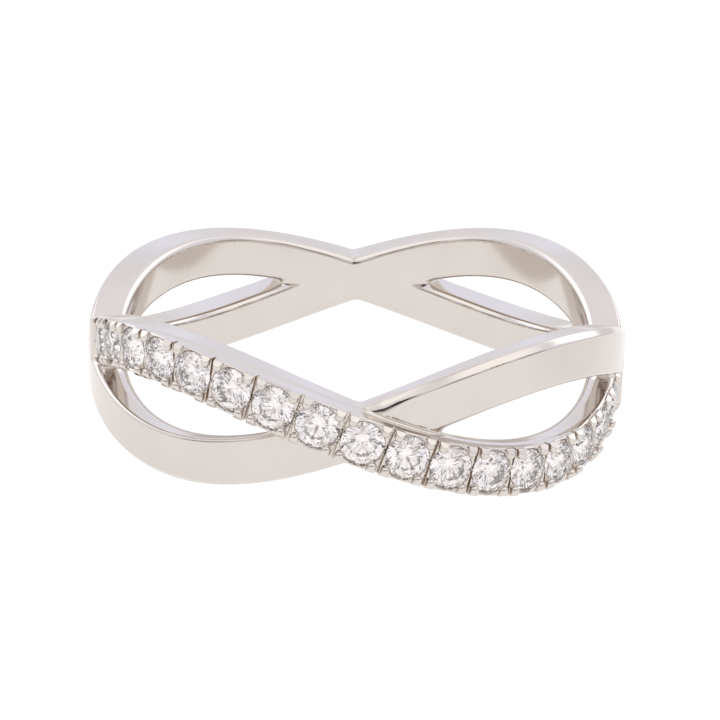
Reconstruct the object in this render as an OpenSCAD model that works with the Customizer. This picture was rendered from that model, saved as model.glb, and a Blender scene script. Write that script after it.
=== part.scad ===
// Crossover ring lying on its side, bore axis along Z, stones toward -Y, millimetres.
// Two strands weave round the finger and cross four times; the front half of one carries stones.
// Angles run from the front (-Y) toward +X; heights are measured from the middle of the ring.

/* [Ring] */
// diameter of the finger hole
bore_d = 17.3; // [15.7:0.1:19.9]
// reach of each strand above and below the middle at the front
weave_front = 1.81; // [1.7:0.01:1.95]
// rounding of the edges that touch the finger
finger_edge_r = 0.28; // [0.15:0.01:0.34]

/* [Plain strand] */
// width of the plain strand
plain_w = 1.7; // [1.5:0.01:1.8]
// reach of the plain strand above and below the middle at the back
plain_weave_back = 1.45; // [1.35:0.01:1.7]
// thickness of the plain strand under the front crossing
plain_t_front = 0.94; // [0.85:0.01:1.1]
// thickness of the plain strand over the side crossings
plain_t_side = 1.34; // [1.3:0.01:1.5]
// thickness of the plain strand under the back crossing
plain_t_back = 1.58; // [1.45:0.01:1.62]
// bevel along the outer edges of the plain strand
plain_bevel = 0.22; // [0.1:0.01:0.3]

/* [Stone strand] */
// width of the strand that carries the stones
stone_strand_w = 1.7; // [1.66:0.01:1.8]
// reach of the stone strand above and below the middle at the back
stone_weave_back = 1.63; // [1.5:0.01:1.75]
// thickness of the stone strand at the front, up to the claw tips
stone_t_front = 1.78; // [1.7:0.01:1.9]
// thickness of the stone strand under the side crossings
stone_t_side = 1.24; // [1.2:0.01:1.28]
// thickness of the stone strand over the back crossing
stone_t_back = 1.7; // [1.64:0.01:1.85]
// bevel along the outer edges of the stone strand where it is plain
stone_strand_bevel = 0.14; // [0.08:0.01:0.2]

/* [Stones] */
// girdle diameter of each stone
stone_d = 1.5; // [1.4:0.01:1.52]
// spacing of the stones along the strand
stone_pitch = 1.61; // [1.59:0.01:1.64]
// angle of the middle stone from the front
row_turn = 0.8; // [0:0.1:1.5]
// depth of the girdles below the claw tips
girdle_drop = 0.31; // [0.28:0.01:0.36]
// table width as a share of the girdle diameter
table_share = 0.57; // [0.52:0.01:0.62]
// slope of the crown in degrees
crown_angle = 34; // [32:0.5:36]
// slope of the pavilion in degrees
pavilion_angle = 41; // [39:0.5:42]
// free space between a stone and the metal
stone_gap = 0.03; // [0.02:0.005:0.035]

/* [Claws] */
// length of a claw along the strand
claw_l = 0.36; // [0.3:0.01:0.4]
// reach of a claw across the strand
claw_w = 0.4; // [0.34:0.01:0.44]
// width of the cut between neighbouring claws
groove_w = 0.13; // [0.1:0.01:0.16]
// depth of that cut below the girdles
groove_depth = 0.2; // [0.14:0.01:0.4]

/* [Hidden] */

bore_r = bore_d / 2;
stone_count = 17;
middle_stone = 9;
// how far the swept strands pass inside the bore before it is cut
bore_overlap = 0.12;
// corners of a strand section are drawn with this many points
corner_points = 2;
// sections round each strand
section_count = 96;
// half the height cut out for the finger, past both edges of the ring
ring_reach = weave_front + plain_w + stone_strand_w;
// the girdle is a short wall of this height
girdle_h = 0.04;
// the deck that the claws stand on ends this far past the last stone
deck_end = stone_pitch / 2 + 0.05;
// the deck lies this far under the girdles and has this bevel along its edges
deck_sink = 0.02;
deck_edge_bevel = 0.05;
// degrees over which the strand steps down to the deck
deck_step = 2;
// the finger edges turn in two flats that meet at this share of the rounding
edge_mid = 0.3;
// star and lower half facets end at these shares of the girdle radius or of the crown
star_share = 0.56;
lower_half_share = 0.22;
// cutters over the stones and between the claws are open this far above the girdles
open_up = 0.9;
// depth of the claw feet inside the deck
bury = 0.12;
// half the height of the rounded end of an eye, and length and sink of the metal behind it
web_half = 0.21;
web_l = 0.95;
web_sink = 0.05;
// levels of a claw from its foot to its tip: height as a share of the girdle drop, length kept,
// and how far its inner and outer sides are set back, as shares of its own length and reach
CLAW_LEVELS = [
    // up, length, inner, outer
    [0.3, 1, 0, 0.04],
    [0.75, 0.86, 0.05, 0.26],
    [1, 0.45, 0.2, 0.58],
];
metal_colour = [0.84, 0.83, 0.81];
stone_colour = [0.93, 0.95, 0.97];

// smooth change of a size from the front through the sides to the back
function around(front, side, back, a) =
    side + ((front + back) / 2 - side) * pow(cos(a), 2) + (front - back) / 2 * cos(a);
function plain_t(a) = around(plain_t_front, plain_t_side, plain_t_back, a);
function stone_t(a) = around(stone_t_front, stone_t_side, stone_t_back, a);

// height of a strand's centre line, and its rise per unit of arc at mid thickness
function swing(a, back) = weave_front + (back - weave_front) * (1 - cos(a)) / 2;
function plain_z(a) = swing(a, plain_weave_back) * sin(2 * a);
function stone_z(a) = -swing(a, stone_weave_back) * sin(2 * a);
function plain_slope(a) =
    (plain_z(a + 0.5) - plain_z(a - 0.5)) / (bore_r + plain_t(a) / 2) * 180 / PI;
function stone_slope(a) =
    (stone_z(a + 0.5) - stone_z(a - 0.5)) / (bore_r + stone_t(a) / 2) * 180 / PI;

// a point at height r from the bore axis, u across the strand and s along it
function spot(a, z, slope, r, u, s) =
    let (n = sqrt(1 + slope * slope))
    let (b = a + (s - u * slope) / n / r * 180 / PI)
    [r * sin(b), -r * cos(b), z + (u + s * slope) / n];
function stone_spot(a, r, u, s) = spot(a, stone_z(a), stone_slope(a), r, u, s);

// angle of each stone, stepped along the strand from the middle one
function step_deg(a) =
    stone_pitch / (bore_r + stone_t(a) - girdle_drop) / sqrt(1 + pow(stone_slope(a), 2)) * 180 / PI;
function stone_angle(k) =
    k == middle_stone
        ? row_turn
        : let (side = k > middle_stone ? 1 : -1)
          let (before = stone_angle(k - side))
          before + side * step_deg(before + side * step_deg(before) / 2);
function half_way(k) = (stone_angle(k) + stone_angle(k + 1)) / 2;
first_angle = stone_angle(1);
last_angle = stone_angle(stone_count);
row_middle = (first_angle + last_angle) / 2;
deck_half = (last_angle - first_angle) / 2 + deck_end / (bore_r + stone_t_side) * 180 / PI;

// 1 where the strand is cut down to the deck, 0 where it keeps its full height
function ramp(x) = min(1, max(0, x));
function deck(a) = ramp((deck_half - abs(a - row_middle)) / deck_step + 0.5);
function deck_t(a) = stone_t(a) - deck(a) * (girdle_drop + deck_sink);
function deck_bevel(a) = stone_strand_bevel + deck(a) * (deck_edge_bevel - stone_strand_bevel);

// section of a strand, as [across, height above the bore]
function corner(across, up, r, from) =
    [for (k = [0 : corner_points - 1])
        let (a = from + 90 * k / (corner_points - 1))
        [across + r * cos(a), up + r * sin(a)]];
edge_bend = finger_edge_r * edge_mid;
edge_end = finger_edge_r + bore_overlap * (1 - edge_mid) / edge_mid;
function section(w, t, outer_r) = concat(
    corner(w / 2 - outer_r, t - outer_r, outer_r, 0),
    corner(outer_r - w / 2, t - outer_r, outer_r, 90),
    [[-w / 2, finger_edge_r], [edge_bend - w / 2, edge_bend], [edge_end - w / 2, -bore_overlap]],
    [[w / 2 - edge_end, -bore_overlap], [w / 2 - edge_bend, edge_bend], [w / 2, finger_edge_r]]
);

// closed strip of quads round the ring from equal sections
module loop_of(rings) {
    n = len(rings);
    m = len(rings[0]);
    polyhedron(
        points = [for (ring = rings) each ring],
        faces = [for (i = [0 : n - 1], j = [0 : m - 1])
            let (p = (i + 1) % n, q = (j + 1) % m)
            each [[i * m + q, i * m + j, p * m + j], [i * m + q, p * m + j, p * m + q]]],
        convexity = 8
    );
}

// sections that shrink or grow along a straight run, closed at both ends
module run_of(rings) {
    n = len(rings);
    m = len(rings[0]);
    polyhedron(
        points = [for (ring = rings) each ring],
        faces = concat(
            [[for (j = [0 : m - 1]) j]],
            [for (i = [0 : n - 2], j = [0 : m - 1])
                let (q = (j + 1) % m)
                each [[i * m + q, i * m + j, (i + 1) * m + j],
                    [i * m + q, (i + 1) * m + j, (i + 1) * m + q]]],
            [[for (j = [m - 1 : -1 : 0]) (n - 1) * m + j]]
        ),
        convexity = 4
    );
}

module plain_strand() {
    loop_of([for (i = [0 : section_count - 1])
        let (a = 360 * i / section_count, slope = plain_slope(a))
        [for (p = section(plain_w, plain_t(a), plain_bevel))
            spot(a, plain_z(a), slope, bore_r + p[1], p[0], 0)]]);
}

module stone_strand() {
    loop_of([for (i = [0 : section_count - 1])
        let (a = 360 * i / section_count - 180)
        [for (p = section(stone_strand_w, deck_t(a), deck_bevel(a)))
            stone_spot(a, bore_r + p[1], p[0], 0)]]);
}

// sizes shared by the stones and their pockets; heights are from the girdle's middle
gr = stone_d / 2;
table_r = gr * table_share;
star_r = table_r + (gr - table_r) * star_share;
half_r = gr * lower_half_share;
crown_h = (gr - table_r) * tan(crown_angle);
pavilion_h = gr * tan(pavilion_angle);
table_up = girdle_h / 2 + crown_h;
star_up = table_up - (star_r * cos(22.5) - table_r) * tan(crown_angle);
half_down = girdle_h / 2 + (gr - half_r * cos(22.5)) * tan(pavilion_angle);

function girdle_level(a) = bore_r + stone_t(a) - girdle_drop;

// places its children on the strand with local X along the strand and Z away from the finger
module at_stone(a) {
    r = girdle_level(a);
    translate([r * sin(a), -r * cos(a), stone_z(a)])
        rotate([0, 0, a])
        rotate([90, 0, 0])
        rotate([0, 0, atan(stone_slope(a))])
        children();
}

// stone shape grown by the gap and open away from the finger
module pocket(k) {
    r = gr + stone_gap;
    half_h = girdle_h / 2 + stone_gap / 2;
    at_stone(stone_angle(k))
        rotate_extrude($fn = 16)
        polygon([
            [0, -half_h - r * tan(pavilion_angle)],
            [r, -half_h],
            [r, half_h],
            [star_r + stone_gap / 2, star_up + stone_gap],
            [table_r, table_up + stone_gap],
            [table_r, open_up],
            [0, open_up],
        ]);
}

// one hexagonal level of a claw, from a row of the table of claw levels
claw_out = stone_strand_w / 2;
claw_in = claw_out - claw_w;
function claw_ring(level, up) =
    let (half = claw_l / 2 * level[1])
    let (in = claw_in + claw_w * level[2], out = claw_out - claw_w * level[3])
    [for (k = [0 : 5])
        let (b = 60 * k)
        [half * sin(b) / sin(60), (in + out) / 2 - (out - in) / 2 * cos(b), up]];
module claw() {
    run_of(concat(
        [claw_ring(CLAW_LEVELS[0], -bury)],
        [for (level = CLAW_LEVELS) claw_ring(level, girdle_drop * level[0])]
    ));
}
// claws stand either side of each groove, and at both ends of the row
claw_shift = (groove_w + claw_l) / 2;
module claw_pair(a, side) {
    at_stone(a)
        translate([side * claw_shift, 0, 0]) {
            claw();
            rotate([0, 0, 180])
                claw();
        }
}
module claws() {
    for (k = [1 : stone_count - 1]) {
        claw_pair(half_way(k), -1);
        claw_pair(half_way(k), 1);
    }
    claw_pair(2 * last_angle - half_way(stone_count - 1), -1);
    claw_pair(2 * first_angle - half_way(1), 1);
}

module groove(k) {
    a = half_way(k);
    at_stone(a)
        rotate([90, 0, 0])
        linear_extrude(height = stone_strand_w * 2, center = true)
        polygon([
            [0, -groove_depth],
            [groove_w / 2, 0],
            [groove_w / 2, open_up],
            [-groove_w / 2, open_up],
            [-groove_w / 2, 0],
        ]);
}

// half the height of an eye between the strands at angle a
function eye_half(a) =
    let (lean = sqrt(1 + pow(plain_slope(a), 2)))
    abs(plain_z(a) - stone_z(a)) / 2 - (plain_w + stone_strand_w) / 4 * lean;
// first angle past a crossing where the eye is as high as its rounded end
function eye_start(a, side) = eye_half(a) > web_half ? a : eye_start(a + side / 4, side);

// metal that closes the sharp end of an eye with a rounded one
module web(c, side) {
    a = eye_start(c + side * 8, side);
    t = min(plain_t(a), stone_t(a) - deck(a) * girdle_drop) - web_sink;
    rotate([0, 0, a])
        translate([0, -bore_r, 0])
        rotate([90, 0, 0])
        translate([0, 0, -bore_overlap])
        linear_extrude(height = t + bore_overlap)
        difference() {
            translate([side > 0 ? -web_l : 0, -web_half * 1.5])
                square([web_l, web_half * 3]);
            circle(r = web_half, $fn = 12);
        }
}

// the metal of both strands before the finger hole is opened
module casting() {
    difference() {
        union() {
            plain_strand();
            stone_strand();
            claws();
            for (c = [0 : 90 : 270]) {
                web(c, -1);
                web(c, 1);
            }
        }
        for (k = [1 : stone_count])
            pocket(k);
        for (k = [1 : stone_count - 1])
            groove(k);
    }
}
module band() {
    color(metal_colour)
        difference() {
            resize([0, 0, 0])
                casting();
            cylinder(r = bore_r, h = ring_reach, $fn = 180);
            translate([0, 0, -ring_reach])
                cylinder(r = bore_r, h = ring_reach, $fn = 180);
        }
}

// round brilliant: table, stars, kites, upper halves, girdle, lower halves and mains
function spoke(r, a, up) = [r * cos(a), r * sin(a), up];
module stone(k) {
    eight = [0 : 7];
    sixteen = [0 : 15];
    color(stone_colour)
        at_stone(stone_angle(k))
        polyhedron(
            points = concat(
                [for (i = eight) spoke(table_r, 45 * i, table_up)],
                [for (i = eight) spoke(star_r, 45 * i + 22.5, star_up)],
                [for (i = sixteen) spoke(gr, 22.5 * i, girdle_h / 2)],
                [for (i = sixteen) spoke(gr, 22.5 * i, -girdle_h / 2)],
                [for (i = eight) spoke(half_r, 45 * i + 22.5, -half_down)],
                [[0, 0, -girdle_h / 2 - pavilion_h]]
            ),
            faces = concat(
                [[for (i = [7 : -1 : 0]) i]],
                [for (i = eight) [i, (i + 1) % 8, 8 + i]],
                [for (i = eight) [i, 8 + i, 16 + 2 * i, 8 + (i + 7) % 8]],
                [for (i = eight) [8 + i, 17 + 2 * i, 16 + 2 * i]],
                [for (i = eight) [8 + i, 16 + (2 * i + 2) % 16, 17 + 2 * i]],
                [for (i = sixteen)
                    [16 + i, 16 + (i + 1) % 16, 32 + (i + 1) % 16, 32 + i]],
                [for (i = eight) [32 + 2 * i, 33 + 2 * i, 48 + i]],
                [for (i = eight) [33 + 2 * i, 32 + (2 * i + 2) % 16, 48 + i]],
                [for (i = eight) [32 + 2 * i, 48 + i, 56, 48 + (i + 7) % 8]]
            )
        );
}

band();
stone(1);  // stone_01
stone(2);  // stone_02
stone(3);  // stone_03
stone(4);  // stone_04
stone(5);  // stone_05
stone(6);  // stone_06
stone(7);  // stone_07
stone(8);  // stone_08
stone(9);  // stone_09
stone(10);  // stone_10
stone(11);  // stone_11
stone(12);  // stone_12
stone(13);  // stone_13
stone(14);  // stone_14
stone(15);  // stone_15
stone(16);  // stone_16
stone(17);  // stone_17
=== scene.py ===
import math

import bpy
import numpy as np
from mathutils import Matrix, Vector


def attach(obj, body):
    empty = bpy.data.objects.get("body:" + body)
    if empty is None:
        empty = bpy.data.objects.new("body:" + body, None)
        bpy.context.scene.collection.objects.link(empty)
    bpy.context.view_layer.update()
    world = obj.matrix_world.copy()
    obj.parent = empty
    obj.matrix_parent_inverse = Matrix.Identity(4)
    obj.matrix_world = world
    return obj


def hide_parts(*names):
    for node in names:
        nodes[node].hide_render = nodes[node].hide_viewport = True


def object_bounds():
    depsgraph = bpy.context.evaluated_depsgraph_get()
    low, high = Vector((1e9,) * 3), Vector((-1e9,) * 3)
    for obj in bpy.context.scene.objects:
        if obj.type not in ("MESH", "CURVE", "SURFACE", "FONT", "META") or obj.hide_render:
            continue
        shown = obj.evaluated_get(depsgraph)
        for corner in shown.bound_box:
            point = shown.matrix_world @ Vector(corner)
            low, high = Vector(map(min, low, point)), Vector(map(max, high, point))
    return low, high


mm = 0.001
tiny = 1e-9  # keeps divisions away from 0

print("loading the packed ring")
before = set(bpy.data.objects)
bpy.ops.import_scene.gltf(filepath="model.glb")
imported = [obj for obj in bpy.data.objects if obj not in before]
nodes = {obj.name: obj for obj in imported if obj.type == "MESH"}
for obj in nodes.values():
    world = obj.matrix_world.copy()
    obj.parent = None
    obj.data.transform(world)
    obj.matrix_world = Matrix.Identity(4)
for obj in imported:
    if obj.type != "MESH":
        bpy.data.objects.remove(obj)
cadLow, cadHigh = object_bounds()
stoneNames = sorted(name for name in nodes if name.startswith("stone_"))


# Shader maths: a wire is a socket that can be used in plain expressions.
class Wire:
    def __init__(self, board, socket):
        self.board, self.socket = board, socket

    def maths(self, operation, first, second):
        return self.board.add("ShaderNodeMath", {"operation": operation}, {0: first, 1: second})

    def __add__(self, other):
        return self.maths("ADD", self, other)

    def __radd__(self, other):
        return self.maths("ADD", other, self)

    def __sub__(self, other):
        return self.maths("SUBTRACT", self, other)

    def __rsub__(self, other):
        return self.maths("SUBTRACT", other, self)

    def __mul__(self, other):
        return self.maths("MULTIPLY", self, other)

    def __rmul__(self, other):
        return self.maths("MULTIPLY", other, self)

    def __truediv__(self, other):
        return self.maths("DIVIDE", self, other)

    def __pow__(self, other):
        return self.maths("POWER", self, other)

    def steps(self, low, high):  # 0 below low, 1 above high, smooth between
        return self.board.add(
            "ShaderNodeMapRange", {"interpolation_type": "SMOOTHSTEP"}, {0: self, 1: low, 2: high}
        )


class Board:  # a node tree that nodes are added to
    def __init__(self, tree):
        self.tree = tree
        self.tree.nodes.clear()

    def add(self, kind, settings=None, inputs=None, output=0):
        node = self.tree.nodes.new(kind)
        for name, value in (settings or {}).items():
            if name == "stops":
                self.setStops(node.color_ramp, value)
            else:
                setattr(node, name, value)
        for name, value in (inputs or {}).items():
            if isinstance(value, Wire):
                self.tree.links.new(value.socket, node.inputs[name])
            else:
                node.inputs[name].default_value = value
        return Wire(self, node.outputs[output]) if len(node.outputs) else node

    def setStops(self, ramp, stops):
        while len(ramp.elements) > 1:
            ramp.elements.remove(ramp.elements[-1])
        for index, (place, colour) in enumerate(stops):
            element = ramp.elements[0] if index == 0 else ramp.elements.new(place)
            element.position, element.color = place, (*colour, 1)

    def blend(self, share, first, second):  # mixes two colours; 6, 7 and 2 are the colour sockets
        first, second = (c if isinstance(c, Wire) else (*c, 1) for c in (first, second))
        sockets = {"Factor": share, 6: first, 7: second}
        return self.add("ShaderNodeMix", {"data_type": "RGBA"}, sockets, output=2)

    def noise(self, place, scale, detail):
        sockets = {"Vector": place, "Scale": scale, "Detail": detail}
        return self.add("ShaderNodeTexNoise", {}, sockets)

    def split(self, vector):  # a vector's x, y and z
        node = self.add("ShaderNodeSeparateXYZ", {}, {0: vector}).socket.node
        return [Wire(self, socket) for socket in node.outputs]

    def finish(self, shader):
        self.add("ShaderNodeOutputMaterial", {}, {"Surface": shader})


def newMaterial(name):
    material = bpy.data.materials.new(name)
    material.use_nodes = True
    return material, Board(material.node_tree)


def newObject(name, data):
    thing = bpy.data.objects.new(name, data)
    bpy.context.scene.collection.objects.link(thing)
    return thing


def toward(azimuth, elevation):  # a direction, in degrees round from the front and up
    turn, lift = math.radians(azimuth), math.radians(elevation)
    return math.sin(turn) * math.cos(lift), -math.cos(turn) * math.cos(lift), math.sin(lift)


# Camera, fitted to the outline of the ring in the photograph.
cameraView = {
    "azimuth": -0.67,  # degrees round from the front
    "elevation": 18.163,
    "distance": 83.5,  # mm from the middle of the ring
    "lens": 111.5,  # mm
    "sensor": 36,  # mm
    "roll": 1.204,  # degrees
    "shiftX": 0.0046,
    "shiftY": -0.0193,
    "clip": (0.005, 10),  # m
}


def makeCamera():
    v = cameraView
    back = Vector(toward(v["azimuth"], v["elevation"]))
    level = Vector((0, 0, 1)).cross(back).normalized()
    upright = back.cross(level)
    roll = math.radians(v["roll"])
    right = level * math.cos(roll) + upright * math.sin(roll)
    up = upright * math.cos(roll) - level * math.sin(roll)
    data = bpy.data.cameras.new("camera")
    data.lens, data.sensor_width = v["lens"], v["sensor"]
    data.shift_x, data.shift_y = v["shiftX"], v["shiftY"]
    data.clip_start, data.clip_end = v["clip"]
    camera = newObject("camera", data)
    axes = Matrix((right, up, back)).transposed().to_4x4()
    camera.matrix_world = Matrix.Translation(back * v["distance"] * mm) @ axes
    bpy.context.scene.camera = camera


makeCamera()
print("camera set")


# The metal. All sizes are in mm; angles run from the front toward the right.
ring = {
    "boreR": 8.65,
    "weaveFront": 1.81,  # reach of both strands above and below the middle at the front
    "fingerEdge": 0.28,  # rounding of the edges that touch the finger
    "eyeEdge": 0.6,  # the same along the eyes, toward the front
    "backEdge": 0.42,  # the same along the lower outline of the back
    "frontShare": (0.6, 1.2),  # the front's edges hold by first + second * cosine, from 0 to 1
    "change": 0.6,  # over this length one edge gives way to another
    "eyeEnd": 0.5,  # how far the strands draw together at the sharp ends of the eyes
    "notch": 0.16,  # the same in the open notches between the strands
    "weld": 0.12,  # fillet where one strand runs under the other
}
plainStrand = {
    "width": 1.7,
    "weaveBack": 1.45,  # its reach above and below the middle at the back
    "thickness": (0.94, 1.34, 1.58),  # front, side, back
    "bevel": (0.08, 0.22),  # along an eye and along the ring's outline
    "soft": 0.06,  # rounding of the bevel's own edges
    "worn": (4.5, 3.5, 0.2),  # softer by the front crossing: place and reach in degrees, size
}
stoneStrand = {
    "width": 1.7,
    "weaveBack": 1.63,
    "thickness": (1.78, 1.24, 1.7),
    "bevel": 0.08,
    "soft": 0.05,
}
setting = {
    "girdleR": 0.75,
    "girdleSides": 16,
    "girdleHalf": 0.02,  # half the height of a stone's girdle wall
    "gap": 0.01,  # free space round a stone's girdle and crown
    "under": 0.06,  # the same under it
    "tableR": 0.43,
    "crown": 34,  # degrees
    "pavilion": 41,
    "girdleDrop": 0.31,  # depth of the girdles under the claw tips
    "deckEnd": 0.86,  # the deck runs this far past the outer stones
    "deckRamp": math.radians(2),  # and rises to the bare strand over this angle
    "deckEdge": 0.03,
    "deckLift": 0.1,  # height of the deck over the girdles
    "flare": 0.8,  # how fast a seat's mouth widens
    "flareScale": 0.8,  # brings the mouth's form close to a true distance
    "cutReach": 1.1,  # seats and grooves stay this close to the row's middle line
    "cutFoot": 0.1,  # and at least this high over the bore
    "cutSoft": 0.01,  # softening of the edges that a seat leaves
    "clawLength": 0.33,
    "clawReach": 0.38,
    "clawDome": 0.15,
    "clawBevel": 0.16,
    "clawSoft": 0.015,
    "clawFoot": 0.08,  # the claws start this far under the girdles
    "tuck": 0.06,  # claws stay this far under the plain strand's face
    "tuckFrom": math.radians(60),  # where it runs over them, at the right crossing
    "grooveWidth": (0.09, 0.15),  # in the middle and at the walls
    "grooveDepth": 0.08,  # under the girdles
    "grooveTop": 0.15,  # a groove has its full width from this height over them
    "grooveFoot": 0.35,  # share of the width that is left at its foot
    "grooveSoft": 0.02,
}


def around(sizes, a):  # smooth change from the front through the sides to the back
    front, side, back = sizes
    cos = np.cos(a)
    return side + ((front + back) / 2 - side) * cos**2 + (front - back) / 2 * cos


def weave(strand, sign, a):  # height of a strand's middle line, and its slope
    swing = ring["weaveFront"] + (strand["weaveBack"] - ring["weaveFront"]) * (1 - np.cos(a)) / 2
    turn = (strand["weaveBack"] - ring["weaveFront"]) * np.sin(a) / 2
    height = sign * swing * np.sin(2 * a)
    rise = sign * (2 * swing * np.cos(2 * a) + turn * np.sin(2 * a))
    return height, rise / (ring["boreR"] + around(strand["thickness"], a) / 2)


def ramp(x, width):  # from 0 to 1 while x passes 0, over a width
    return np.clip(x / width + 0.5, 0, 1)


def blendDown(a, b, k):  # union with a fillet
    h = np.maximum(k - np.abs(a - b), 0) / np.maximum(k, tiny)
    return np.minimum(a, b) - h * h * k / 4


def blendUp(a, b, k):  # overlap with a softened edge
    return -blendDown(-a, -b, k)


def roundUp(a, b, r):  # overlap with an edge rounded to r
    inside = np.minimum(np.maximum(a, b) + r, 0)
    return inside + np.hypot(np.maximum(a + r, 0), np.maximum(b + r, 0)) - r


def bevelUp(a, b, leg, soft):  # overlap with a flat bevel whose own edges are softened
    return blendUp(blendUp(a, b, soft), (a + b + leg) * math.sqrt(0.5), soft)


# Where the stones sit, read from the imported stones.
def readSeats():
    found = []
    for name in stoneNames:
        points = np.array([v.co for v in nodes[name].data.vertices]) / mm
        culet = points[np.argmin(np.hypot(points[:, 0], points[:, 1]))]
        found.append((math.atan2(culet[0], -culet[1]), culet[2], math.hypot(culet[0], culet[1])))
    angle, height, culetR = np.array(found).T
    pavilion = setting["girdleR"] * math.tan(math.radians(setting["pavilion"]))
    girdle = culetR + pavilion + setting["girdleHalf"]
    return angle, height, girdle, weave(stoneStrand, -1, angle)[1]


def findGrooves():  # half way between the stones and as far beyond the outer two
    angle = (seatAngle[1:] + seatAngle[:-1]) / 2
    angle = np.concatenate([[2 * seatAngle[0] - angle[0]], angle, [2 * seatAngle[-1] - angle[-1]]])
    height, slope = weave(stoneStrand, -1, angle)
    girdle = ring["boreR"] + around(stoneStrand["thickness"], angle) - setting["girdleDrop"]
    return angle, height, girdle, slope


seats = readSeats()  # angle, height, distance from the axis and slope of each
seatAngle = seats[0]
grooves = findGrooves()
lastGroove = len(seatAngle)
rowMiddle = (seatAngle[0] + seatAngle[-1]) / 2
deckR = ring["boreR"] + stoneStrand["thickness"][1]
rowHalf = (seatAngle[-1] - seatAngle[0]) / 2 + setting["deckEnd"] / deckR


def localFrame(a, r, z, row):  # along, across and up at the nearest seat or groove, and its number
    angles, heights, radii, slopes = row
    k = np.searchsorted((angles[1:] + angles[:-1]) / 2, a)
    lean = np.sqrt(1 + slopes[k] ** 2)
    side = r * np.sin(a - angles[k])
    rise = z - heights[k]
    along = (side + rise * slopes[k]) / lean
    across = (rise - side * slopes[k]) / lean
    return along, across, r * np.cos(a - angles[k]) - radii[k], k


def girdleReach(along, across):  # distance from a stone's axis, as its flat-sided girdle has it
    x, y, half = np.abs(along), np.abs(across), math.pi / setting["girdleSides"]
    turns = [n * half for n in range(1, setting["girdleSides"] // 2, 2)]
    sides = [x * math.cos(turn) + y * math.sin(turn) for turn in turns]
    return np.max(sides, axis=0) / math.cos(half)


def seatSpace(along, across, up, _):  # the space for a stone, open away from the finger
    s = setting
    q = np.hypot(along, across)
    pavilion, crown = math.radians(s["pavilion"]), math.radians(s["crown"])
    overCone = up + s["girdleHalf"] + s["under"] + (s["girdleR"] - q) * math.tan(pavilion)
    overCrown = up - s["girdleHalf"] - s["gap"] - (s["girdleR"] - q) * math.tan(crown)
    cone, roof = -overCone * math.cos(pavilion), overCrown * math.cos(crown)
    bowl = np.maximum(girdleReach(along, across) - (s["girdleR"] + s["gap"]), cone)
    return np.minimum(np.maximum(bowl, roof), np.maximum(q - s["tableR"], cone))


def mouthSpace(along, across, up, _):  # the widened mouth of a seat
    s = setting
    over = up - s["girdleHalf"]
    wide = girdleReach(along, across) - (s["girdleR"] + s["gap"]) - over * s["flare"]
    return np.maximum(wide * s["flareScale"], -over)


def grooveHalf(across):
    middle, wall = setting["grooveWidth"]
    share = np.clip(np.abs(across) / (stoneStrand["width"] / 2), 0, 1)
    return (middle + (wall - middle) * share**2) / 2


def clawBody(along, across, up, k):  # a round-ended pillar, bevelled on the wall's side
    s = setting
    wall, half = stoneStrand["width"] / 2, s["clawLength"] / 2
    sole = np.where(k == 0, along, np.where(k == lastGroove, -along, np.abs(along)))
    beside = sole - s["grooveWidth"][1] / 2 - half
    pillar = np.hypot(beside, np.maximum(wall - s["clawReach"] + half - np.abs(across), 0)) - half
    body = roundUp(pillar, up - s["girdleDrop"], s["clawDome"])
    slant = (np.abs(across) + up - wall - s["girdleDrop"] + s["clawBevel"]) * math.sqrt(0.5)
    body = blendUp(blendUp(body, slant, s["clawSoft"]), np.abs(across) - wall, s["clawSoft"])
    return np.maximum(body, -up - s["clawFoot"])


def grooveSpace(along, across, up, k):  # a cut between two stones, narrower toward its foot
    depth, foot = setting["grooveDepth"], setting["grooveFoot"]
    deep = np.clip((up + depth) / (depth + setting["grooveTop"]), 0, 1)
    cut = np.maximum(np.abs(along) - grooveHalf(across) * (foot + (1 - foot) * deep), -up - depth)
    return np.where((k > 0) & (k < lastGroove), cut, 1)


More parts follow.
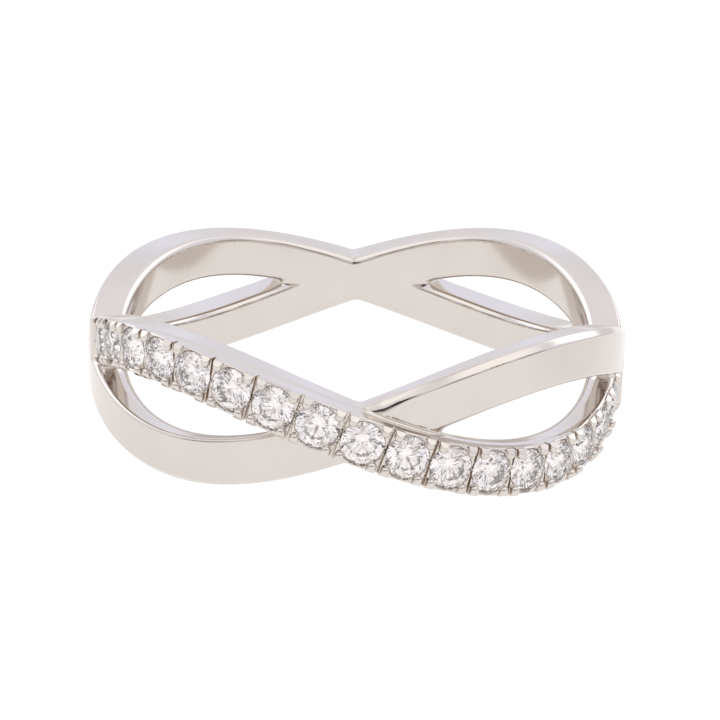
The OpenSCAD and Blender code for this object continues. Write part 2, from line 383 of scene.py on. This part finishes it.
def metal(a, rho, z):  # below 0 inside the metal; rho is the height above the bore
    s = setting
    plainZ, plainSlope = weave(plainStrand, 1, a)
    stoneZ, stoneSlope = weave(stoneStrand, -1, a)
    plainU = (z - plainZ) / np.sqrt(1 + plainSlope**2)
    stoneU = (z - stoneZ) / np.sqrt(1 + stoneSlope**2)
    plainSide = np.abs(plainU) - plainStrand["width"] / 2
    stoneSide = np.abs(stoneU) - stoneStrand["width"] / 2
    deck = ramp(rowHalf - np.abs(a - rowMiddle), s["deckRamp"])
    plainT = around(plainStrand["thickness"], a)
    stoneT = around(stoneStrand["thickness"], a) - deck * (s["girdleDrop"] - s["deckLift"])

    # the bevel grows along the ring's outline in front, and is worn by the front crossing
    share, gain = ring["frontShare"]
    front = np.clip(share + gain * np.cos(a), 0, 1)
    outline = ramp(plainZ * np.sign(plainU), ring["change"]) * front
    narrow, broad = plainStrand["bevel"]
    bevel = narrow + (broad - narrow) * outline
    place, reach, worn = plainStrand["worn"]
    soft = plainStrand["soft"] + worn * outline * np.exp(-(((np.degrees(a) - place) / reach) ** 2))
    stoneBevel = stoneStrand["bevel"] + deck * (s["deckEdge"] - stoneStrand["bevel"])
    plain = bevelUp(plainSide, rho - plainT, bevel, soft)
    stone = bevelUp(stoneSide, rho - stoneT, stoneBevel, stoneStrand["soft"])

    # the strands draw together where they meet
    draw = np.where(plainU * stoneU > 0, ring["notch"], ring["eyeEnd"])
    web = blendDown(plainSide, stoneSide, draw)
    web = bevelUp(web, rho - np.minimum(plainT, stoneT), bevel, soft)
    plain = np.minimum(plain, web)

    # mouths and grooves are cut in the stone strand alone, seats in both
    row = np.flatnonzero((deck > 0) & (np.abs(stoneU) < s["cutReach"]) & (rho > s["cutFoot"]))
    spot = a[row], (ring["boreR"] + rho)[row], z[row]
    seat, cut = localFrame(*spot, seats), localFrame(*spot, grooves)
    stone[row] = blendUp(stone[row], -mouthSpace(*seat), s["cutSoft"])
    stone[row] = blendUp(stone[row], -grooveSpace(*cut), s["grooveSoft"])
    body = blendDown(plain, stone, ring["weld"])
    body[row] = blendUp(body[row], -seatSpace(*seat), s["cutSoft"])

    # the edges that touch the finger
    eyeSide = ramp(np.abs(plainZ) - np.abs(z), ring["change"])
    lower = (1 - front) * (1 - eyeSide) * ramp(-z, ring["change"])
    edge, eyeEdge, backEdge = ring["fingerEdge"], ring["eyeEdge"], ring["backEdge"]
    edge = edge + (eyeEdge - edge) * front * eyeSide + (backEdge - edge) * lower
    return roundUp(body, -rho, edge)


def clawMetal(a, rho, z):  # the claws alone, clear of the stones
    soft = setting["cutSoft"]
    spot = a, ring["boreR"] + rho, z
    seat, cut = localFrame(*spot, seats), localFrame(*spot, grooves)
    claws = blendUp(blendUp(clawBody(*cut), -grooveSpace(*cut), soft), -seatSpace(*seat), soft)
    plainZ, plainSlope = weave(plainStrand, 1, a)
    side = np.abs(z - plainZ) / np.sqrt(1 + plainSlope**2) - plainStrand["width"] / 2
    covered = np.maximum(side, around(plainStrand["thickness"], a) - setting["tuck"] - rho)
    return np.where(a > setting["tuckFrom"], np.maximum(claws, -covered), claws)


grid = {
    "fine": 0.042,  # mm between samples near the stones
    "fineMargin": math.radians(4),  # the fine part runs this far past the row
    "coarse": 0.08,  # mm between samples round the back
    "middle": 1,  # mm over the bore where both are measured
    "step": 0.042,  # mm along the bore axis and away from the finger
    "heights": (-0.1, 1.95),  # mm over the bore, from and to
    "margin": 0.95,  # mm above and below the strands' middle lines
    "claw": 0.026,
    "clawMargin": 0.04,
    "clawFoot": 0.13,  # mm under the girdles
    "slope": 0.004,  # mm on both sides of a point whose normal is taken
    "rounds": 3,  # of false position, for the points on the grid's lines
    "pull": 0.02,  # how firmly a point stays near the middle of its cell
    "reach": 0.8,  # of a step, how far it may move from there
    "inset": 0.03,  # mm inside its face where a corner's normal is taken
    "clawInset": 0.02,
    "insetShare": 0.45,  # of the way to the face's middle, at most
    "bend": 14,  # degrees over one cell, above which the mesh keeps all its points
    "maxTriangles": 195000,
}


def toSpace(spot):  # from angle, height above the bore and z to x, y, z
    r = ring["boreR"] + spot[:, 1]
    return np.stack([r * np.sin(spot[:, 0]), -r * np.cos(spot[:, 0]), spot[:, 2]], 1)


def fromSpace(p):
    rho = np.hypot(p[:, 0], p[:, 1]) - ring["boreR"]
    return np.stack([np.arctan2(p[:, 0], -p[:, 1]), rho, p[:, 2]], 1)


def outward(form, p):  # unit normals of a form's surface
    slopes = []
    for axis in np.eye(3) * grid["slope"]:
        slopes.append(form(*fromSpace(p + axis).T) - form(*fromSpace(p - axis).T))
    normal = np.stack(slopes, 1)
    return normal / np.maximum(np.linalg.norm(normal, axis=1, keepdims=True), tiny)


def sample(form, axes, place):  # the form's value all over a grid
    value = np.empty([len(axis) for axis in axes])
    for i, first in enumerate(axes[0]):
        layer = np.meshgrid([first], axes[1], axes[2], indexing="ij")
        points = place(np.stack([p.ravel() for p in layer], 1))
        value[i] = form(*fromSpace(points).T).reshape(value.shape[1:])
    return value


def shifted(values, axis, closed):  # each sample and the next one along an axis
    if closed and axis == 0:
        return values, np.roll(values, -1, 0)
    cut = [slice(None)] * 3
    cut[axis] = slice(0, -1)
    lower = values[tuple(cut)]
    cut[axis] = slice(1, None)
    return lower, values[tuple(cut)]


def crossings(form, axes, place, closed, value, axis):  # where lines along an axis meet the surface
    lower, upper = shifted(value, axis, closed)
    edges = np.argwhere((lower < 0) != (upper < 0))
    start = np.stack([axes[n][edges[:, n]] for n in range(3)], 1)
    end = start.copy()
    end[:, axis] = axes[axis][(edges[:, axis] + 1) % value.shape[axis]]
    if closed and axis == 0:  # the line over the seam ends one turn further
        end[:, 0] += 2 * math.pi * (edges[:, 0] == value.shape[0] - 1)
    low, high = lower[tuple(edges.T)], upper[tuple(edges.T)]
    solidFirst = low < 0
    near, far = np.zeros(len(edges)), np.ones(len(edges))
    for _ in range(grid["rounds"]):
        share = near + (far - near) * low / (low - high)
        middle = form(*fromSpace(place(start + (end - start) * share[:, None])).T)
        same = (middle < 0) == solidFirst
        near, low = np.where(same, share, near), np.where(same, middle, low)
        far, high = np.where(same, far, share), np.where(same, high, middle)
    spot = place(start + (end - start) * share[:, None])

    # the four cells that share each line
    cells = [value.shape[0] - (0 if closed else 1), value.shape[1] - 1, value.shape[2] - 1]
    one, two = [(1, 2), (2, 0), (0, 1)][axis]
    owners = []
    for back in ((1, 1), (0, 1), (0, 0), (1, 0)):
        cell = edges.copy()
        cell[:, one] -= back[0]
        cell[:, two] -= back[1]
        if closed:
            cell[:, 0] %= value.shape[0]
        owners.append(np.ravel_multi_index(cell.T, cells))
    return spot, np.stack(owners, 1), solidFirst


def cast(form, axes, place, closed):  # the surface where a form passes 0, with its edges kept crisp
    value = sample(form, axes, place)
    found = [crossings(form, axes, place, closed, value, axis) for axis in range(3)]
    spot, owners, solidFirst = (np.concatenate(part) for part in zip(*found))
    normal = outward(form, spot)
    used, owners = np.unique(owners, return_inverse=True)
    owners = owners.reshape(-1, 4)
    count = np.bincount(owners.ravel(), minlength=len(used))

    def gather(values):
        return np.bincount(owners.ravel(), np.repeat(values, 4), len(used))

    # each cell's point goes where the planes of its crossings meet
    middle = np.stack([gather(spot[:, n]) for n in range(3)], 1) / count[:, None]
    level = (normal * spot).sum(1)
    matrix = np.empty((len(used), 3, 3))
    pull = np.stack([gather(normal[:, n] * level) for n in range(3)], 1)
    for m in range(3):
        for n in range(3):
            matrix[:, m, n] = gather(normal[:, m] * normal[:, n])
    pull -= np.einsum("kmn,kn->km", matrix, middle)
    matrix += np.eye(3) * grid["pull"] * count[:, None, None]
    move = np.linalg.solve(matrix, pull[:, :, None])[:, :, 0]
    size = np.linalg.norm(move, axis=1, keepdims=True)
    points = middle + move * np.minimum(1, grid["reach"] * grid["step"] / np.maximum(size, tiny))
    return points, np.where(solidFirst[:, None], owners, owners[:, ::-1])


def spacing():  # angles of the samples round the ring, closer together by the stones
    mean = ring["boreR"] + grid["middle"]
    fineHalf = rowHalf + grid["fineMargin"]
    count = int(2 * fineHalf * mean / grid["fine"])
    fine = np.linspace(rowMiddle - fineHalf, rowMiddle + fineHalf, count)
    rest = 2 * math.pi - 2 * fineHalf
    count = int(rest * mean / grid["coarse"])
    coarse = fine[-1] + rest * np.arange(1, count) / count
    return np.concatenate([fine, coarse])


def halve(form, points, quads):  # triangles, cut along the diagonal that lies nearer the surface
    def off(one, two):
        return np.abs(form(*fromSpace((points[quads[:, one]] + points[quads[:, two]]) / 2).T))

    first = off(0, 2) < off(1, 3)
    turned = np.where(first[:, None], quads, np.roll(quads, -1, 1))
    return np.concatenate([turned[:, :3], turned[:, [0, 2, 3]]])


def makeSolid(name, points, faces):
    mesh = bpy.data.meshes.new(name)
    mesh.from_pydata((points * mm).tolist(), [], faces.tolist())
    return newObject(name, mesh)


def shadeBy(mesh, form, inset):  # corner normals of the form, taken a little inside each face
    mesh.shade_smooth()
    spots = np.array([v.co for v in mesh.vertices]) / mm
    corners = np.zeros(len(mesh.loops), int)
    mesh.loops.foreach_get("vertex_index", corners)
    totals = np.zeros(len(mesh.polygons), int)
    mesh.polygons.foreach_get("loop_total", totals)
    owner = np.repeat(np.arange(len(totals)), totals)
    corner = spots[corners]
    middle = np.stack([np.bincount(owner, corner[:, n]) for n in range(3)], 1) / totals[:, None]
    inward = middle[owner] - corner
    reach = np.linalg.norm(inward, axis=1, keepdims=True)
    inside = corner + inward * np.minimum(grid["insetShare"], inset / np.maximum(reach, tiny))
    mesh.normals_split_custom_set(outward(form, inside).tolist())


def thinOut(band, points, quads):  # fewer faces, but none lost where the surface bends
    normal = outward(metal, points)
    turns = [(normal[quads[:, k]] * normal[quads[:, k - 1]]).sum(1) for k in range(4)]
    bent = np.unique(quads[np.min(turns, axis=0) < math.cos(math.radians(grid["bend"]))])
    print("bent places:", len(bent), "of", len(points))
    smooth = band.vertex_groups.new(name="smooth")
    smooth.add(np.setdiff1d(np.arange(len(points)), bent).tolist(), 1, "REPLACE")
    thin = band.modifiers.new("thin", "DECIMATE")
    thin.ratio = min(1, grid["maxTriangles"] / (2 * len(quads)))
    thin.vertex_group, thin.vertex_group_factor = "smooth", 1
    evaluated = band.evaluated_get(bpy.context.evaluated_depsgraph_get())
    band.data = bpy.data.meshes.new_from_object(evaluated)
    band.modifiers.clear()
    band.vertex_groups.clear()


def makeBand():
    rho = np.arange(*grid["heights"], grid["step"])
    reach = ring["weaveFront"] + grid["margin"]
    z = np.arange(-reach, reach + grid["step"], grid["step"])
    points, quads = cast(metal, (spacing(), rho, z), toSpace, True)
    print("band cast:", len(quads), "quads")
    band = makeSolid("band_metal", points, halve(metal, points, quads[:, ::-1]))
    thinOut(band, points, quads)
    shadeBy(band.data, metal, grid["inset"])
    print("band thinned:", len(band.data.polygons), "faces")
    return band


def makeClaws():
    margin, low = grid["clawMargin"], grid["clawFoot"]
    sides = (
        setting["clawLength"] + setting["grooveWidth"][1] / 2 + margin,
        stoneStrand["width"] / 2 + margin,
    )
    axes = [np.arange(-end, end + grid["claw"], grid["claw"]) for end in sides]
    axes.append(np.arange(-low, setting["girdleDrop"] + margin, grid["claw"]))
    points, quads, total = [], [], 0
    for a, height, r, slope in zip(*grooves):
        away = np.array([math.sin(a), -math.cos(a), 0])
        side = np.array([math.cos(a), math.sin(a), 0])
        along = (side + np.array([0, 0, slope])) / math.hypot(1, slope)
        across = (np.array([0, 0, 1]) - side * slope) / math.hypot(1, slope)
        centre = away * r + np.array([0, 0, height])

        def place(spot):
            return centre + spot[:, :1] * along + spot[:, 1:2] * across + spot[:, 2:] * away

        spots, faces = cast(clawMetal, axes, place, False)
        points.append(spots)
        quads.append(faces + total)
        total += len(spots)
    points, quads = np.concatenate(points), np.concatenate(quads)
    claws = makeSolid("claw_tips", points, halve(clawMetal, points, quads))
    shadeBy(claws.data, clawMetal, grid["clawInset"])
    print("claws cast:", len(claws.data.polygons), "faces")
    return claws


goldLook = {
    "colour": (0.705, 0.652, 0.61),
    "colourWorn": (0.69, 0.638, 0.597),
    "wornFrom": (0.3, 0.7),  # in the clouds' own values
    "roughness": 0.1,
    "haze": 0.05,  # roughness that the clouds and the fine grain add
    "cloudScale": 700,
    "fineScale": 9000,
    "waveScale": 420,
    "bump": 0.15,
    "bumpDepth": 0.00002,  # m
    "bumpFine": 0.05,
}


def makeGold():
    look = goldLook
    material, board = newMaterial("white_gold")
    place = board.add("ShaderNodeTexCoord", output="Object")
    cloud = board.noise(place, look["cloudScale"], 3)
    fine = board.noise(place, look["fineScale"], 2)
    wave = board.noise(place, look["waveScale"], 1)
    colour = board.blend(cloud.steps(*look["wornFrom"]), look["colour"], look["colourWorn"])
    bump = board.add("ShaderNodeBump", {}, {
        "Strength": look["bump"], "Distance": look["bumpDepth"],
        "Height": wave + fine * look["bumpFine"],
    })
    shader = board.add("ShaderNodeBsdfPrincipled", {}, {
        "Base Color": colour, "Metallic": 1, "Normal": bump,
        "Roughness": look["roughness"] + look["haze"] * fine * cloud,
    })
    board.finish(shader)
    return material


diamondLook = {
    "colour": (0.995, 0.985, 0.99),
    "colourWarm": (1.0, 0.975, 0.96),
    "cloudScale": 2500,
    "roughness": 0.05,
    "ior": 2.417,
    "mirrorFrom": (-0.03, 0.01),  # mm under the girdle, where the facets start to act as mirrors
}


def makeDiamond():
    look = diamondLook
    material, board = newMaterial("stone_clear")
    place = board.add("ShaderNodeTexCoord", output="Object")
    x, y, _ = board.split(place)
    x, y = x * (1 / mm), y * (1 / mm)
    fromAxis = (x * x + y * y) ** 0.5
    cos = y * -1 / fromAxis
    front, side, back = stoneStrand["thickness"]
    swell = cos * cos * ((front + back) / 2 - side) + cos * ((front - back) / 2)
    girdle = swell + ring["boreR"] + side - setting["girdleDrop"]
    under = (girdle - fromAxis).steps(*look["mirrorFrom"])
    cloud = board.noise(place, look["cloudScale"], 2)
    colour = board.blend(cloud, look["colour"], look["colourWarm"])
    shader = board.add("ShaderNodeBsdfPrincipled", {}, {
        "Base Color": colour, "Metallic": under,
        "Roughness": look["roughness"], "IOR": look["ior"], "Transmission Weight": 1,
    })
    board.finish(shader)
    return material


gold = makeGold()
diamond = makeDiamond()
print("finishes made")

band = makeBand()
claws = makeClaws()
for piece in (band, claws):
    piece.data.materials.clear()
    piece.data.materials.append(gold)
    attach(piece, "root")
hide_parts("band")
for name in stoneNames:
    stone = nodes[name]
    stone.data.materials.clear()
    stone.data.materials.append(diamond)
print("ring dressed")


# Studio: a pale floor in a white light tent with brighter and darker patches.
studio = {
    "floorHalf": 1.0,  # m
    "floor": (0.12, 0.12, 0.12),
    "floorRough": 0.9,
    "floorGlow": (0.95, 0.95, 0.95),  # lit from below as well, so that shadows stay faint
    "floorSide": (0.89, 0.88, 0.89),  # the glow of a duller place, mostly outside the picture
    "sidePlace": (0.025, -0.003),  # m
    "sideReach": (0.005, 0.013),
    "strength": 2.0,  # of the room's light; its colours are divided by this
    "heights": [  # sine of the elevation, colour
        (-1.0, (0.8, 0.8, 0.82)),
        (-0.05, (0.85, 0.84, 0.83)),
        (0.1, (0.84, 0.83, 0.85)),
        (0.17, (0.88, 0.88, 0.93)),
        (0.3, (0.97, 0.99, 1.1)),
        (0.38, (1.01, 1.04, 1.2)),
        (0.5, (0.94, 0.96, 1.06)),
        (0.65, (0.97, 0.97, 1.01)),
        (0.8, (1.04, 1.05, 1.12)),
        (0.9, (1.0, 0.99, 1.02)),
        (1.0, (0.86, 0.84, 0.82)),
    ],
    "patches": [  # azimuth from the front, elevation, inner and outer radius in degrees, colour
        (-62, 56, 15, 28, (1.3, 1.3, 1.3)),
        (62, 56, 15, 28, (1.3, 1.3, 1.3)),
        (-128, 30, 12, 22, (1.7, 1.7, 1.75)),
        (128, 30, 12, 22, (1.7, 1.7, 1.75)),
        (-32, 18, 5, 13, (0.38, 0.34, 0.31)),
        (32, 18, 5, 13, (0.38, 0.34, 0.31)),
        (-72, 16, 5, 12, (0.42, 0.38, 0.35)),
        (72, 16, 5, 12, (0.42, 0.38, 0.35)),
        (-2, 20, 8.5, 14.5, (0.03, 0.028, 0.027)),
        (-52, 26, 3, 8, (0.2, 0.18, 0.17)),
        (52, 26, 3, 8, (0.2, 0.18, 0.17)),
    ],
    "gap": (0.05, 0.14, 0.3, 0.46),  # a duller band: begins, full, fades, ends, as sines of elevation
    "gapSpread": (-0.1, 0.35),  # how far it runs round, as cosines from the front: ends, full
    "gapColour": (0.76, 0.71, 0.67),
}


def makeFloor():
    half, low = studio["floorHalf"], cadLow.z
    mesh = bpy.data.meshes.new("floor")
    corners = [(x, y, low) for x, y in ((-half, -half), (half, -half), (half, half), (-half, half))]
    mesh.from_pydata(corners, [], [(0, 1, 2, 3)])
    floor = newObject("floor", mesh)
    material, board = newMaterial("floor_white")
    place = board.add("ShaderNodeTexCoord", output="Object")
    spots = {0: place, 1: (*studio["sidePlace"], low)}
    away = board.add("ShaderNodeVectorMath", {"operation": "DISTANCE"}, spots, output="Value")
    glow = board.blend(away.steps(*studio["sideReach"]), studio["floorSide"], studio["floorGlow"])
    shader = board.add("ShaderNodeBsdfPrincipled", {}, {
        "Base Color": (*studio["floor"], 1), "Roughness": studio["floorRough"],
        "Specular IOR Level": 0, "Emission Color": glow, "Emission Strength": 1,
    })
    board.finish(shader)
    mesh.materials.append(material)


def makeRoom():
    def dimmed(tone):
        return tuple(c / studio["strength"] for c in tone)

    world = bpy.data.worlds.new("room")
    bpy.context.scene.world = world
    world.use_nodes = True
    board = Board(world.node_tree)
    x, y, z = board.split(board.add("ShaderNodeTexCoord", output="Generated"))
    stops = [((height + 1) / 2, dimmed(tone)) for height, tone in studio["heights"]]
    colour = board.add("ShaderNodeValToRGB", {"stops": stops}, {0: z * 0.5 + 0.5})
    begins, full, fades, ends = studio["gap"]
    gap = z.steps(begins, full) * (1 - z.steps(fades, ends)) * (y * -1).steps(*studio["gapSpread"])
    colour = board.blend(gap, colour, dimmed(studio["gapColour"]))
    for azimuth, elevation, inner, outer, tone in studio["patches"]:
        way = toward(azimuth, elevation)
        near = x * way[0] + y * way[1] + z * way[2]
        mask = near.steps(math.cos(math.radians(outer)), math.cos(math.radians(inner)))
        colour = board.blend(mask, colour, dimmed(tone))
    light = board.add("ShaderNodeBackground", {}, {"Color": colour, "Strength": studio["strength"]})
    board.add("ShaderNodeOutputWorld", {}, {"Surface": light})


makeFloor()
makeRoom()
scene = bpy.context.scene
scene.view_settings.view_transform = "Standard"
scene.cycles.max_bounces = 24
scene.cycles.glossy_bounces = 12
scene.cycles.transmission_bounces = 20
print("studio lit")
